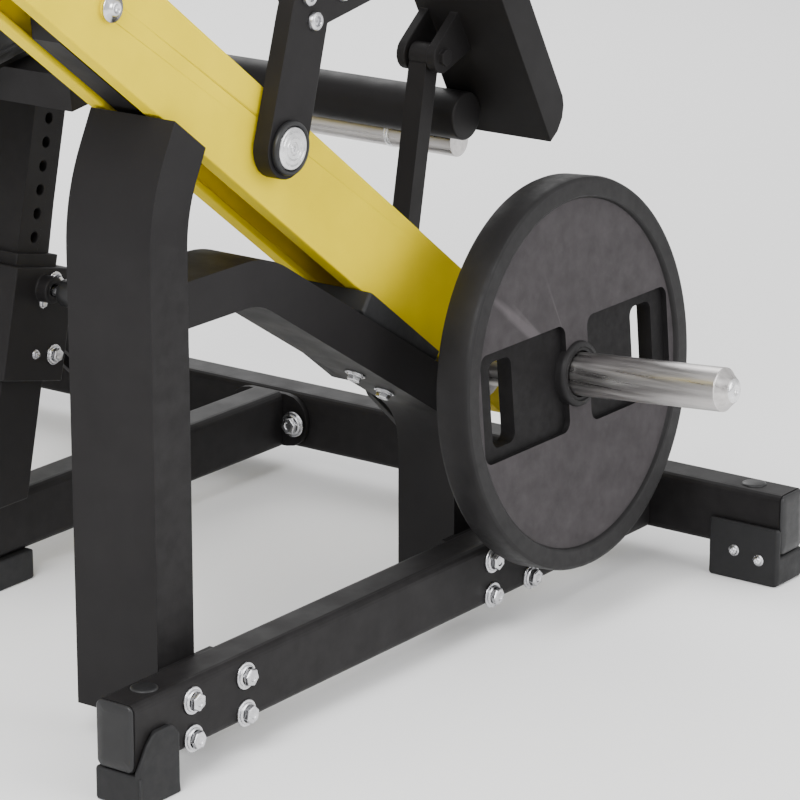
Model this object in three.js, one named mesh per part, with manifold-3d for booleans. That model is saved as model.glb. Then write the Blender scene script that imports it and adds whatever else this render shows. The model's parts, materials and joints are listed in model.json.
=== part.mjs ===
// Plate-loaded leg press. Millimetres, +Z up, +X towards the foot plate, -Y is the user's right side.
import * as THREE from "three";
import { mergeVertices } from "three/addons/utils/BufferGeometryUtils.js";
import Module from "manifold-3d";

const wasm = await Module();
wasm.setup();

// ---- Driving dimensions ----
const ORIGIN_X = -114.1; // middle of the machine's length, on the X scale used below
const GAP = 0.4; // air between pieces that touch
const TUBE = { tall: 75, wide: 50, round: 9, low: 37 }; // base tubes
const BASE_TOP = TUBE.low + TUBE.tall;
const CROSS = { x0: 455, x1: 505, reach: 763 };
const RAIL = { x0: -512, y: 557 };
const CENTRE_RAIL_X0 = -130;
const COLUMN = { x: -373, wide: 60, yOut: 522, yIn: 410, bendAt: 590, topX: -306, topZ: 720 };
const STAND = { yOut: 468, yIn: 432 }; // plate inside the lever that carries its pivot
const LEVER = { yOut: 498, yIn: 402, slope: 0.759, deep: 104, wall: 8, lip: 22, pin: 12, x0: -690, x1: 262 };
const LEVER_LOW = new THREE.Vector2(-306, 646); // a point on the lever's lower edge
const PIVOT_O = new THREE.Vector2(-430, 807); // lever on its stand
const PIVOT_P = new THREE.Vector2(-174, 620); // press frame on the lever
const PIVOT_R = new THREE.Vector2(391, 597); // tie rod on the press frame, the open pivot
const ROD_LENGTH = 400;
const ROD_LEAN = 0.192; // radians from upright
const PIVOT_Q = new THREE.Vector2(
  PIVOT_R.x - ROD_LENGTH * Math.sin(ROD_LEAN),
  PIVOT_R.y - ROD_LENGTH * Math.cos(ROD_LEAN),
);
const ROD_Y = 290;
const ARM = { yOut: 522, yIn: 501, r: 34, pin: 16 };
const SLAB = { yOut: 392, yIn: 256, thick: 48, top: 1120 };
const SLAB_FOOT = new THREE.Vector2(514, 480); // lower corner of the slab's user-side face
const SLAB_LEAN = 0.511; // radians from upright
const CROSS_TUBE_R = 30;
const HORN = { x: 200, z: 305, r: 25, tilt: 0.0785, root: 500, tip: 850 };
const PLATE = { r: 225, thick: 44, face: 650, bore: 26.5, hub: 38, rim: 20, sunk: 8 };
const POST = { x: -114, lean: 0.227, wide: 104, deep: 72, wall: 8, top: 300 };
const COLLAR = { low: 152, high: 286, proud: 16 };
const PIN_ALONG = 262; // the seat pin's place up the post
const HOLES = { pitch: 28, below: 4, above: 9, r: 6.5 };
const BACK_RECLINE = 0.72; // radians from upright
const BENT = { yOut: 520, yIn: 440, thick: 50, bend: 110 };
const LOWER_BAR = { x: 515, z: 462, r: 20, reach: 254 };
const BORE_AIR = 0.5; // radial air between a pin and its bore

const COLOURS = {
  frame: [0x47, 0x45, 0x46, 0.5, 0.3],
  yellow: [0xe8, 0xd8, 0x28, 0.4, 0.1],
  rubber: [0x1c, 0x1c, 0x1d, 0.9, 0],
  steel: [0xc4, 0xc6, 0xc8, 0.3, 1],
  iron: [0x60, 0x5e, 0x60, 0.7, 0.2],
  pad: [0x26, 0x26, 0x28, 0.7, 0],
};
const materials = {};
for (const [name, [r, g, b, roughness, metalness]] of Object.entries(COLOURS)) {
  const color = new THREE.Color(r / 255, g / 255, b / 255);
  materials[name] = new THREE.MeshStandardMaterial({ name, color, roughness, metalness });
}

// ---- Solids: joined and cut through manifold-3d ----
function solid(geometry) {
  const plain = geometry.index ? geometry.clone() : geometry;
  for (const key of Object.keys(plain.attributes)) {
    if (key !== "position") plain.deleteAttribute(key);
  }
  const merged = mergeVertices(plain, 1e-3);
  return new wasm.Manifold(
    new wasm.Mesh({
      numProp: 3,
      vertProperties: merged.attributes.position.array,
      triVerts: new Uint32Array(merged.index.array),
    }),
  );
}

function joined(...pieces) {
  return pieces.reduce((sum, piece) => sum.add(piece));
}

function geometryOf(body) {
  const mesh = body.getMesh();
  const geometry = new THREE.BufferGeometry();
  geometry.setAttribute("position", new THREE.BufferAttribute(mesh.vertProperties, 3));
  geometry.setIndex(new THREE.BufferAttribute(mesh.triVerts, 1));
  const flat = geometry.toNonIndexed();
  flat.computeVertexNormals();
  return flat;
}

const machine = new THREE.Group();
machine.position.x = -ORIGIN_X;

function add(name, material, body) {
  const mesh = new THREE.Mesh(geometryOf(body), materials[material]);
  mesh.name = name;
  machine.add(mesh);
}

// ---- Plain shapes ----
// A prism of an outline in the XZ plane, between two values of Y.
function prismY(outline, ya, yb, holes = []) {
  const shape = new THREE.Shape(outline);
  shape.holes = holes.map((hole) => new THREE.Path(hole));
  const depth = Math.abs(yb - ya);
  const geometry = new THREE.ExtrudeGeometry(shape, { depth, bevelEnabled: false, steps: 1 });
  geometry.rotateX(Math.PI / 2);
  geometry.translate(0, Math.max(ya, yb), 0);
  return solid(geometry);
}

// A prism of an outline in the XY plane, between two values of Z.
function prismZ(outline, za, zb) {
  const depth = zb - za;
  const geometry = new THREE.ExtrudeGeometry(new THREE.Shape(outline), { depth, bevelEnabled: false });
  geometry.translate(0, 0, za);
  return solid(geometry);
}

function box(x0, x1, y0, y1, z0, z1) {
  const geometry = new THREE.BoxGeometry(x1 - x0, Math.abs(y1 - y0), z1 - z0);
  geometry.translate((x0 + x1) / 2, (y0 + y1) / 2, (z0 + z1) / 2);
  return solid(geometry);
}

// A round bar between two points.
function bar(from, to, radius, sides = 24, radiusEnd = radius) {
  const way = new THREE.Vector3().subVectors(to, from);
  const geometry = new THREE.CylinderGeometry(radiusEnd, radius, way.length(), sides);
  const turn = new THREE.Quaternion().setFromUnitVectors(new THREE.Vector3(0, 1, 0), way.clone().normalize());
  geometry.applyQuaternion(turn);
  geometry.translate((from.x + to.x) / 2, (from.y + to.y) / 2, (from.z + to.z) / 2);
  return solid(geometry);
}

const at = (p, y) => new THREE.Vector3(p.x, y, p.y);
const barY = (p, ya, yb, radius, sides) => bar(at(p, ya), at(p, yb), radius, sides);

// Corner points of a rectangle with rounded corners, centred on (cx, cy).
function roundedRect(width, height, radius, cx = 0, cy = 0, steps = 4) {
  const points = [];
  const corners = [[1, 1], [-1, 1], [-1, -1], [1, -1]];
  corners.forEach(([sx, sy], corner) => {
    for (let i = 0; i <= steps; i++) {
      const angle = ((corner + i / steps) * Math.PI) / 2;
      points.push(
        new THREE.Vector2(
          cx + sx * (width / 2 - radius) + radius * Math.cos(angle),
          cy + sy * (height / 2 - radius) + radius * Math.sin(angle),
        ),
      );
    }
  });
  return points;
}

// A line of points whose inner corners are rounded.
function filleted(points, radius, steps = 7) {
  const out = [points[0]];
  for (let i = 1; i < points.length - 1; i++) {
    const back = points[i - 1].clone().sub(points[i]).normalize();
    const ahead = points[i + 1].clone().sub(points[i]).normalize();
    const half = Math.acos(THREE.MathUtils.clamp(back.dot(ahead), -1, 1)) / 2;
    const reach = radius / Math.tan(half);
    const start = points[i].clone().addScaledVector(back, reach);
    const end = points[i].clone().addScaledVector(ahead, reach);
    for (let k = 0; k <= steps; k++) {
      const t = k / steps;
      const a = start.clone().multiplyScalar((1 - t) * (1 - t));
      const b = points[i].clone().multiplyScalar(2 * t * (1 - t));
      out.push(a.add(b).addScaledVector(end, t * t));
    }
  }
  out.push(points[points.length - 1]);
  return out;
}

// The outline of a band of the given width along a line of points.
function band(line, width) {
  const sides = [[], []];
  line.forEach((point, i) => {
    const before = line[Math.max(i - 1, 0)];
    const after = line[Math.min(i + 1, line.length - 1)];
    const way = after.clone().sub(before).normalize();
    const across = new THREE.Vector2(-way.y, way.x).multiplyScalar(width / 2);
    sides[0].push(point.clone().add(across));
    sides[1].unshift(point.clone().sub(across));
  });
  return [...sides[0], ...sides[1]];
}

// A plate whose outline wraps round two circles, between two values of Y.
function linkOutline(a, ra, b, rb, steps = 8) {
  const base = Math.atan2(b.y - a.y, b.x - a.x);
  const tilt = Math.acos((ra - rb) / a.distanceTo(b));
  const points = [];
  for (let i = 0; i <= steps; i++) {
    const angle = base + tilt + ((2 * Math.PI - 2 * tilt) * i) / steps;
    points.push(new THREE.Vector2(a.x + ra * Math.cos(angle), a.y + ra * Math.sin(angle)));
  }
  for (let i = 0; i <= steps; i++) {
    const angle = base - tilt + (2 * tilt * i) / steps;
    points.push(new THREE.Vector2(b.x + rb * Math.cos(angle), b.y + rb * Math.sin(angle)));
  }
  return points;
}

const V = (x, y) => new THREE.Vector2(x, y);
const sides = [["right", -1], ["left", 1]];

// A hexagon bolt head on a washer, standing on a wall at y, facing the way of `out`.
function boltY(x, z, y, out) {
  const washer = barY(V(x, z), y, y + out * 2.5, 11, 16);
  return joined(washer, barY(V(x, z), y + out * 2, y + out * 9, 8, 6));
}

// ---- Base ----
function tubeX(x0, x1, y) {
  const geometry = new THREE.ExtrudeGeometry(
    new THREE.Shape(roundedRect(TUBE.wide, TUBE.tall, TUBE.round)),
    { depth: x1 - x0, bevelEnabled: false },
  );
  geometry.rotateX(Math.PI / 2);
  geometry.rotateZ(Math.PI / 2);
  geometry.translate(x0, y, TUBE.low + TUBE.tall / 2);
  return solid(geometry);
}

function tubeAlongY(x, y0, y1) {
  const middle = TUBE.low + TUBE.tall / 2;
  return prismY(roundedRect(TUBE.wide, TUBE.tall, TUBE.round, x, middle), y0, y1);
}

add("cross_beam", "frame", tubeAlongY((CROSS.x0 + CROSS.x1) / 2, -CROSS.reach, CROSS.reach));
const railEnd = CROSS.x0 - GAP;
for (const [side, s] of sides) {
  add(`${side}_side_rail`, "frame", tubeX(RAIL.x0, railEnd, s * RAIL.y));
}
add("centre_rail", "frame", tubeX(CENTRE_RAIL_X0, railEnd - 8 - GAP, 0));

// Oval plate that bolts the centre rail to the cross beam.
function centreFlange() {
  const outline = roundedRect(126, 70, 33);
  const geometry = new THREE.ExtrudeGeometry(new THREE.Shape(outline), { depth: 8, bevelEnabled: false });
  geometry.rotateX(Math.PI / 2);
  geometry.rotateZ(Math.PI / 2);
  geometry.translate(CROSS.x0 - GAP - 8, 0, TUBE.low + TUBE.tall / 2);
  const heads = [-48, 48].map((y) => {
    const z = TUBE.low + TUBE.tall / 2;
    const x = CROSS.x0 - GAP - 7;
    return bar(new THREE.Vector3(x, y, z), new THREE.Vector3(x - 9, y, z), 8, 6);
  });
  return joined(solid(geometry), ...heads);
}
add("centre_rail_flange", "frame", centreFlange());

// Moulded rubber shoes under the tube ends, with a taller lug on the tube's outer face.
const SHOE = { past: 4, lug: 7, lugLow: 10, top: TUBE.low - GAP };

function railShoe(s) {
  const x0 = RAIL.x0 - SHOE.past;
  const x1 = x0 + 67;
  const face = s * (RAIL.y + TUBE.wide / 2 + GAP);
  const lug = prismY(
    [
      V(x0, SHOE.lugLow), V(x1, SHOE.lugLow), V(x1, 66), V(x1 - 12, 78), V(x0 + 28, 78),
      V(x0 + 16, 66), V(x0, 40),
    ],
    face, face + s * SHOE.lug,
  );
  return joined(box(x0, x1, s * (RAIL.y - 27), face + s * SHOE.lug, 0, SHOE.top), lug);
}

function crossShoe(s) {
  const y0 = s * (CROSS.reach + SHOE.past);
  const y1 = y0 - s * 96;
  const face = CROSS.x0 - GAP;
  const lug = box(face - SHOE.lug, face, y1, y0, SHOE.lugLow, 72);
  return joined(box(face - SHOE.lug, CROSS.x1 + 2, y1, y0, 0, SHOE.top), lug);
}

for (const [side, s] of sides) {
  add(`${side}_rear_foot`, "rubber", railShoe(s));
  add(`${side}_front_foot`, "rubber", crossShoe(s));
}
add("centre_foot", "rubber", box(CENTRE_RAIL_X0 - 4, CENTRE_RAIL_X0 + 86, -30, 30, 0, TUBE.low - GAP));

// ---- Columns, bent tubes and stands ----
function leverLowZ(x) {
  return LEVER_LOW.y - (x - LEVER_LOW.x) * LEVER.slope;
}

// A point given along the lever and up from its lower edge, from below its pivot.
const leverDir = V(1, -LEVER.slope).normalize();
const leverUp = V(-leverDir.y, leverDir.x);
const pivotUp = (PIVOT_O.y - leverLowZ(PIVOT_O.x)) * leverDir.x;
const onLever = (along, up) => (
  PIVOT_O.clone().addScaledVector(leverDir, along).addScaledVector(leverUp, up - pivotUp)
);

// Flat plate between a standing tube and the rail beside it.
function rootPlate(s, x0, x1, yOut) {
  const low = TUBE.low + 7;
  const inner = RAIL.y - TUBE.wide / 2 - GAP;
  return box(x0, x1, s * inner, s * (yOut - 2), low, BASE_TOP - 8);
}

function column(s) {
  const { x, wide, yOut, yIn } = COLUMN;
  const spine = filleted([V(x, 42), V(x, COLUMN.bendAt), V(COLUMN.topX, COLUMN.topZ)], 200, 9);
  const body = prismY(band(spine, wide), s * yOut, s * yIn);
  const clear = 3;
  const above = prismY(
    [onLever(-100, -clear), onLever(400, -clear), onLever(400, 400), onLever(-100, 400)],
    s * (yOut + 5), s * (yIn - 5),
  );
  // The stand fills the lever's hollow from the column's head to the pivot.
  const stand = prismY(
    [
      onLever(-30, 22), onLever(-12, 3), onLever(166, 3), onLever(170, -20), onLever(212, -20),
      onLever(214, 40), onLever(190, 78), onLever(20, 90), onLever(-14, 88), onLever(-37, 66), onLever(-40, 44),
    ],
    s * STAND.yOut, s * STAND.yIn,
  );
  const bore = barY(PIVOT_O, s * (STAND.yOut + 7), s * (STAND.yIn - 7), LEVER.pin + BORE_AIR, 24);
  const root = rootPlate(s, x - wide / 2 + 1, x + wide / 2 + 28, yOut);
  return joined(body.subtract(above), stand, root).subtract(bore);
}

const BENT_LEG = 158; // the standing leg's middle on X
const bentSpine = filleted(
  [V(COLUMN.x + COLUMN.wide / 2 + GAP, 485), V(-215, 485), V(BENT_LEG, 255), V(BENT_LEG, 42)],
  BENT.bend, 9,
);

function bentTube(s) {
  const tube = prismY(band(bentSpine, BENT.thick), s * BENT.yOut, s * BENT.yIn);
  return joined(tube, rootPlate(s, BENT_LEG - 48, BENT_LEG + 64, BENT.yOut));
}

// Black block on the bent tube, under the lever's low end: the lever rests on it.
function supportBlock(s) {
  const top = -GAP * 2;
  const outline = [
    onLever(556, top), onLever(720, top), onLever(720, -38), onLever(704, -62),
    onLever(580, -62), onLever(556, -24),
  ];
  const block = prismY(outline, s * 516, s * 400);
  const tubeSpace = prismY(
    band(bentSpine, BENT.thick + 2 * GAP), s * (BENT.yOut + 5), s * (BENT.yIn - GAP),
  );
  const parts = block.subtract(tubeSpace).decompose();
  return parts.sort((a, b) => b.volume() - a.volume())[0];
}

const BOLT_GRIDS = [["rear", -376.5, 46], ["front", 160, 41]];
const BOLT_Z = 69;
for (const [side, s] of sides) {
  add(`${side}_column`, "frame", column(s));
  add(`${side}_bent_tube`, "frame", bentTube(s));
  add(`${side}_support_block`, "rubber", supportBlock(s));
  const face = s * (RAIL.y + TUBE.wide / 2 + GAP);
  for (const [place, x, half] of BOLT_GRIDS) {
    const strip = prismY(roundedRect(2 * half + 12, 58, 8, x, BOLT_Z), face, face + s * 2);
    const corners = [-half, half].flatMap((dx) => [-21, 21].map((dz) => [x + dx, BOLT_Z + dz]));
    const heads = corners.map(([bx, bz]) => boltY(bx, bz, face, s));
    add(`${side}_${place}_rail_bolts`, "steel", joined(strip, ...heads));
  }
}

// ---- Levers ----
function lever(s) {
  const { wall, deep, lip, yOut, yIn, pin } = LEVER;
  const from = (LEVER.x0 - PIVOT_O.x) / leverDir.x + pivotUp * LEVER.slope;
  const to = (LEVER.x1 - PIVOT_O.x) / leverDir.x + pivotUp * LEVER.slope;
  const rect = (a0, a1, u0, u1) => [onLever(a0, u0), onLever(a1, u0), onLever(a1, u1), onLever(a0, u1)];
  const end = 6; // thickness of the end plates
  const outer = prismY(rect(from, to, 0, deep), s * yOut, s * yIn);
  const inner = prismY(rect(from + end, to - end, wall, deep - wall), s * (yOut - wall), s * (yIn + wall));
  const slot = prismY(rect(from + end, to - end, -5, wall + 2), s * (yOut - lip), s * (yIn + lip));
  const shaft = barY(PIVOT_O, s * (yOut + 4), s * (yIn - 4), pin, 24);
  const journal = barY(PIVOT_P, s * (ARM.yOut - 4), s * (yIn + 2), ARM.pin, 24);
  return joined(outer.subtract(inner).subtract(slot), shaft, journal);
}

function hornPoint(reach) {
  return [HORN.x, reach, HORN.z + (reach - PLATE.face) * Math.tan(HORN.tilt)];
}

function horn(s) {
  const point = (reach) => {
    const [x, y, z] = hornPoint(reach);
    return new THREE.Vector3(x, s * y, z);
  };
  const root = LEVER.yOut + GAP;
  const bevel = 12;
  const shaft = bar(point(root), point(HORN.tip - bevel), HORN.r, 32);
  const nose = bar(point(HORN.tip - bevel - 0.2), point(HORN.tip), HORN.r - 1, 32, HORN.r - 11);
  const flange = bar(point(root + 4), point(LEVER.yOut + 15), 42, 32);
  const stop = bar(point(588), point(604), 44, 32);
  const inside = box(HORN.x - 90, HORN.x + 90, s * root, s * (LEVER.yOut - 98), 150, 460);
  return joined(shaft, nose, flange, stop).subtract(inside);
}

for (const [side, s] of sides) {
  add(`${side}_lever`, "yellow", lever(s));
  add(`${side}_weight_horn`, "steel", horn(s));
}

// ---- Weight plate: a turned disc with a raised rim, two grip slots and a hub ----
function weightPlate() {
  const { r, thick, bore, hub, rim, sunk } = PLATE;
  const half = [
    V(bore, 0), V(hub, 0), V(hub + 4, sunk), V(r - rim - 4, sunk), V(r - rim, 0), V(r - 5, 0), V(r, 5),
  ];
  const mirrored = half.map((p) => V(p.x, thick - p.y)).reverse();
  const loop = [...half, ...mirrored, half[0]];
  let body = solid(new THREE.LatheGeometry(loop, 72));
  for (const way of [1, -1]) {
    const slot = new THREE.Shape(roundedRect(46, 96, 14, way * 140, 0));
    const geometry = new THREE.ExtrudeGeometry(slot, { depth: thick + 20, bevelEnabled: false });
    geometry.rotateX(-Math.PI / 2);
    geometry.translate(0, -10, 0);
    body = body.subtract(solid(geometry));
  }
  const turned = body.rotate([(-HORN.tilt * 180) / Math.PI, 0, 0]);
  const [x, y, z] = hornPoint(PLATE.face);
  return turned.translate([x, -y, z]);
}
add("weight_plate", "iron", weightPlate());

// ---- Press frame: arms, side links, slabs, cross tube, foot plate ----
const slabDir = V(-Math.sin(SLAB_LEAN), Math.cos(SLAB_LEAN)); // up along the slab
const slabOut = V(Math.cos(SLAB_LEAN), Math.sin(SLAB_LEAN)); // away from the user
const onSlab = (along, out) => SLAB_FOOT.clone().addScaledVector(slabDir, along).addScaledVector(slabOut, out);
const SLAB_LONG = (SLAB.top - SLAB_FOOT.y) / Math.cos(SLAB_LEAN);

function arm(s) {
  const foot = [];
  const steps = 14;
  for (let i = 0; i <= steps; i++) {
    const angle = Math.PI * (0.86 + (1.06 * i) / steps);
    foot.push(V(PIVOT_P.x + ARM.r * Math.cos(angle), PIVOT_P.y + ARM.r * Math.sin(angle)));
  }
  const head = [V(-104, 742), V(30, 764), V(36, 850), V(-40, 878), V(-104, 870), V(-140, 834), V(-166, 760)];
  const plate = prismY([...foot, ...head], s * ARM.yOut, s * ARM.yIn);
  return plate.subtract(barY(PIVOT_P, s * (ARM.yOut + 5), s * (ARM.yIn - 5), ARM.pin + BORE_AIR, 24));
}

function sideLink(s) {
  const y = (v) => s * v;
  const outline = [
    V(-104, y(500.6)), V(20, y(500.6)), V(330, y(454)), V(372, y(392.4)), V(300, y(392.4)),
    V(270, y(412)), V(-10, y(454)), V(-104, y(454)),
  ];
  const path = s > 0 ? outline.reverse() : outline;
  return prismZ(path, 756, 832);
}

function slab(s) {
  const outline = [
    onSlab(0, 0), onSlab(SLAB_LONG, 0), onSlab(SLAB_LONG, SLAB.thick), onSlab(34, SLAB.thick),
    onSlab(22, SLAB.thick - 4), onSlab(10, SLAB.thick - 14), onSlab(2, SLAB.thick - 30),
  ];
  const body = prismY(outline, s * SLAB.yOut, s * SLAB.yIn);
  const ear = (y0, y1) => {
    const root = PIVOT_R.clone().addScaledVector(slabOut, 62);
    const plate = prismY(linkOutline(PIVOT_R, 20, root, 30), s * y0, s * y1);
    return joined(plate, barY(PIVOT_R, s * y0, s * (y0 + Math.sign(y0 - y1) * 6), 11, 6));
  };
  return joined(body, ear(ROD_Y + 28, ROD_Y + 16), ear(ROD_Y - 28, ROD_Y - 16));
}

for (const [side, s] of sides) {
  add(`${side}_arm`, "frame", arm(s));
  add(`${side}_side_link`, "frame", sideLink(s));
  add(`${side}_slab`, "frame", slab(s));
  const capFoot = ARM.yOut + GAP;
  const cap = joined(
    barY(PIVOT_P, s * capFoot, s * (capFoot + 9), 24, 32),
    barY(PIVOT_P, s * (capFoot + 8), s * (capFoot + 12), 8, 24),
  );
  add(`${side}_pivot_cap`, "steel", cap);
  const places = [V(-138, 776), V(-128, 748), V(-78, 772)];
  const heads = places.map((p) => barY(p, s * capFoot, s * (capFoot + 7), 9, 20));
  const backing = prismY([V(-151, 782), V(-143, 737), V(-64, 758), V(-66, 784)], s * capFoot, s * (capFoot + 2));
  add(`${side}_arm_bolts`, "steel", joined(backing, ...heads));
}

const tubeAxis = onSlab(51, -(CROSS_TUBE_R + GAP));
const barAxis = V(LOWER_BAR.x, LOWER_BAR.z);
add("press_cross_tube", "frame", barY(tubeAxis, -302, 302, CROSS_TUBE_R, 32));
add("press_lower_bar", "steel", barY(barAxis, -LOWER_BAR.reach, LOWER_BAR.reach, LOWER_BAR.r, 24));
for (const [side, s] of sides) {
  const down = barAxis.clone().sub(tubeAxis).normalize();
  const start = tubeAxis.clone().addScaledVector(down, CROSS_TUBE_R + GAP + 1.2);
  const end = barAxis.clone().addScaledVector(down, -LOWER_BAR.r - GAP - 1.2);
  add(`${side}_bar_bracket`, "frame", prismY(band([start, end], 22), s * 200, s * 232));
}

function footPlate(back, thick, low, high, half) {
  const front = back + thick;
  const outline = [onSlab(low, -back), onSlab(high, -back), onSlab(high, -front), onSlab(low, -front)];
  return prismY(outline, -half, half);
}
add("foot_plate", "frame", footPlate(GAP, 10, 290, 720, 350));
add("foot_mat", "rubber", footPlate(GAP * 2 + 10, 6, 300, 710, 335));

// ---- Tie rods and their stands ----
const ROD = { thick: 26, wide: 25, low: 20, top: 15, pin: 8, cheekIn: 14, cheekOut: 24, reach: 30 };
const standX = CROSS.x0 - GAP;

function tieRod(s) {
  const ya = s * (ROD_Y - ROD.thick / 2);
  const yb = s * (ROD_Y + ROD.thick / 2);
  const way = PIVOT_R.clone().sub(PIVOT_Q).normalize();
  const neck = PIVOT_R.clone().addScaledVector(way, -10);
  const shaft = prismY(band([PIVOT_Q, neck], ROD.wide), ya, yb);
  const eyes = joined(barY(PIVOT_R, ya, yb, ROD.top, 24), barY(PIVOT_Q, ya, yb, ROD.low, 24));
  const bore = barY(PIVOT_Q, s * (ROD_Y - ROD.reach), s * (ROD_Y + ROD.reach), ROD.pin + BORE_AIR, 24);
  return joined(shaft, eyes).subtract(bore);
}

function rodStand(s) {
  const q = PIVOT_Q;
  const outline = [
    V(standX, 50), V(standX, 104), V(q.x + 14, q.y + 16), V(q.x - 8, q.y + 18),
    V(q.x - 20, q.y), V(q.x - 10, q.y - 18),
  ];
  const cheek = (ya, yb) => prismY(outline, s * (ROD_Y + ya), s * (ROD_Y + yb));
  const pin = barY(q, s * (ROD_Y - ROD.reach), s * (ROD_Y + ROD.reach), ROD.pin, 24);
  const foot = box(standX - 8, standX, s * (ROD_Y - ROD.reach), s * (ROD_Y + ROD.reach), 48, 106);
  const cheeks = joined(cheek(-ROD.cheekOut, -ROD.cheekIn), cheek(ROD.cheekIn, ROD.cheekOut));
  return joined(cheeks, pin, foot);
}

for (const [side, s] of sides) {
  add(`${side}_tie_rod`, "frame", tieRod(s));
  add(`${side}_rod_stand`, "frame", rodStand(s));
}

// ---- Seat post and seat ----
const postUp = V(Math.sin(POST.lean), Math.cos(POST.lean));
const postOut = V(Math.cos(POST.lean), -Math.sin(POST.lean));
const postBase = V(POST.x, BASE_TOP + GAP);
const onPost = (along, out) => postBase.clone().addScaledVector(postUp, along).addScaledVector(postOut, out);
const postRect = (a0, a1, half) => [onPost(a0, -half), onPost(a1, -half), onPost(a1, half), onPost(a0, half)];

const pinHole = onPost(PIN_ALONG, 0);

function seatPost() {
  const halfDeep = POST.deep / 2;
  const halfWide = POST.wide / 2;
  const ground = box(-250, 100, -90, 90, 0, BASE_TOP + GAP);
  const outer = prismY(postRect(-30, POST.top, halfDeep), -halfWide, halfWide);
  const inner = prismY(postRect(20, POST.top + 20, halfDeep - POST.wall), POST.wall - halfWide, halfWide - POST.wall);
  const { low, high, proud } = COLLAR;
  const collar = prismY(postRect(low, high, halfDeep + proud), -halfWide - proud, halfWide + proud);
  const boss = barY(pinHole, -halfWide, -halfWide - 32, 16, 20);
  const bore = barY(pinHole, -40, -90, 7, 20);
  return joined(outer, collar, boss).subtract(inner).subtract(ground).subtract(bore);
}
add("seat_post", "frame", seatPost());

const STEM = { half: 43, low: 60, top: 552 };
function seatStem() {
  let stem = prismY(postRect(STEM.low, STEM.top, POST.deep / 2 - POST.wall - 1), -STEM.half, STEM.half);
  for (let i = -HOLES.below; i <= HOLES.above; i++) {
    stem = stem.subtract(barY(onPost(PIN_ALONG + HOLES.pitch * i, 0), -50, 50, HOLES.r, 12));
  }
  return stem;
}
add("seat_stem", "frame", seatStem());

const pinFoot = -STEM.half - 1.2;
add("seat_pin", "steel", joined(barY(pinHole, pinFoot, -100, 5.5, 16), barY(pinHole, -99, -124, 15, 20)));

const SEAT = { half: 215, tilt: 0.14 };
const seatPivot = onPost(STEM.top + GAP, 0);
const seatDir = V(Math.cos(SEAT.tilt), Math.sin(SEAT.tilt));
const seatUp = V(-Math.sin(SEAT.tilt), Math.cos(SEAT.tilt));
const onSeat = (along, up) => seatPivot.clone().addScaledVector(seatDir, along).addScaledVector(seatUp, up);
const seatRect = (a0, a1, u0, u1) => [onSeat(a0, u0), onSeat(a1, u0), onSeat(a1, u1), onSeat(a0, u1)];
const frameLow = 14;

function seatFrame() {
  const spine = prismY(seatRect(-330, 70, frameLow, frameLow + 44), -27, 27);
  const cross = prismY(seatRect(-230, -190, frameLow, frameLow + 40), -262, 262);
  const deck = prismY(seatRect(-300, 60, frameLow + 40, frameLow + 46), -170, 170);
  const hinge = barY(onSeat(-338, frameLow + 40), -26, 26, 24, 24);
  const cap = prismY(postRect(540, 590, 40), -52, 52).subtract(prismY(postRect(530, STEM.top + GAP, 60), -80, 80));
  const bore = barY(onSeat(-338, frameLow + 40), -60, 60, 8.4, 24);
  return joined(spine, cross, deck, hinge, cap).subtract(bore);
}
add("seat_frame", "frame", seatFrame());
add("seat_pad", "pad", prismY(seatRect(-300, 90, frameLow + 46.8, frameLow + 116), -SEAT.half, SEAT.half));

// Handles: a bent round bar each side with a rubber grip.
for (const [side, s] of sides) {
  const line = filleted([onSeat(-210, frameLow + 60), onSeat(-206, 150), onSeat(-60, 210)], 40, 6);
  const bentBar = prismY(band(line, 26), s * 236, s * 262);
  const crossSpace = prismY(seatRect(-300, 0, frameLow - 10, frameLow + 40 + GAP), s * 200, s * 300);
  add(`${side}_handle`, "frame", bentBar.subtract(crossSpace));
  const root = onSeat(-60, 210);
  const way = root.clone().sub(onSeat(-150, 173)).normalize();
  const gripY = s * 249;
  const start = root.clone().addScaledVector(way, GAP);
  const end = root.clone().addScaledVector(way, 110);
  add(`${side}_grip`, "rubber", bar(at(start, gripY), at(end, gripY), 17, 20));
}

// Backrest: hinged fork, spine and pad.
const backPivot = onSeat(-338, frameLow + 40);
const backDir = V(-Math.sin(BACK_RECLINE), Math.cos(BACK_RECLINE));
const backFace = V(Math.cos(BACK_RECLINE), Math.sin(BACK_RECLINE));
const onBack = (along, out) => backPivot.clone().addScaledVector(backDir, along).addScaledVector(backFace, out);
const backRect = (a0, a1, o0, o1) => [onBack(a0, o0), onBack(a1, o0), onBack(a1, o1), onBack(a0, o1)];

function backFrame() {
  const cheek = (y0, y1) => prismY(linkOutline(backPivot, 22, onBack(90, 4), 20), y0, y1);
  const spine = prismY(backRect(62, 600, -16, 24), -45, 45);
  const plates = [130, 480].map((a) => prismY(backRect(a, a + 60, 18, 30), -150, 150));
  const pin = barY(backPivot, -50, 50, 8, 24);
  return joined(cheek(-45, -29), cheek(29, 45), spine, pin, ...plates);
}
add("back_frame", "frame", backFrame());
add("back_pad", "pad", prismY(backRect(70, 700, 30.8, 104), -SEAT.half, SEAT.half));

export default machine;
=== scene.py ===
"""Looks for the leg press machine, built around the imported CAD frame. Metres, +Z up."""
import json
import math

import bmesh
import bpy
from mathutils import Matrix, Vector, noise
from mathutils.bvhtree import BVHTree


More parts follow.
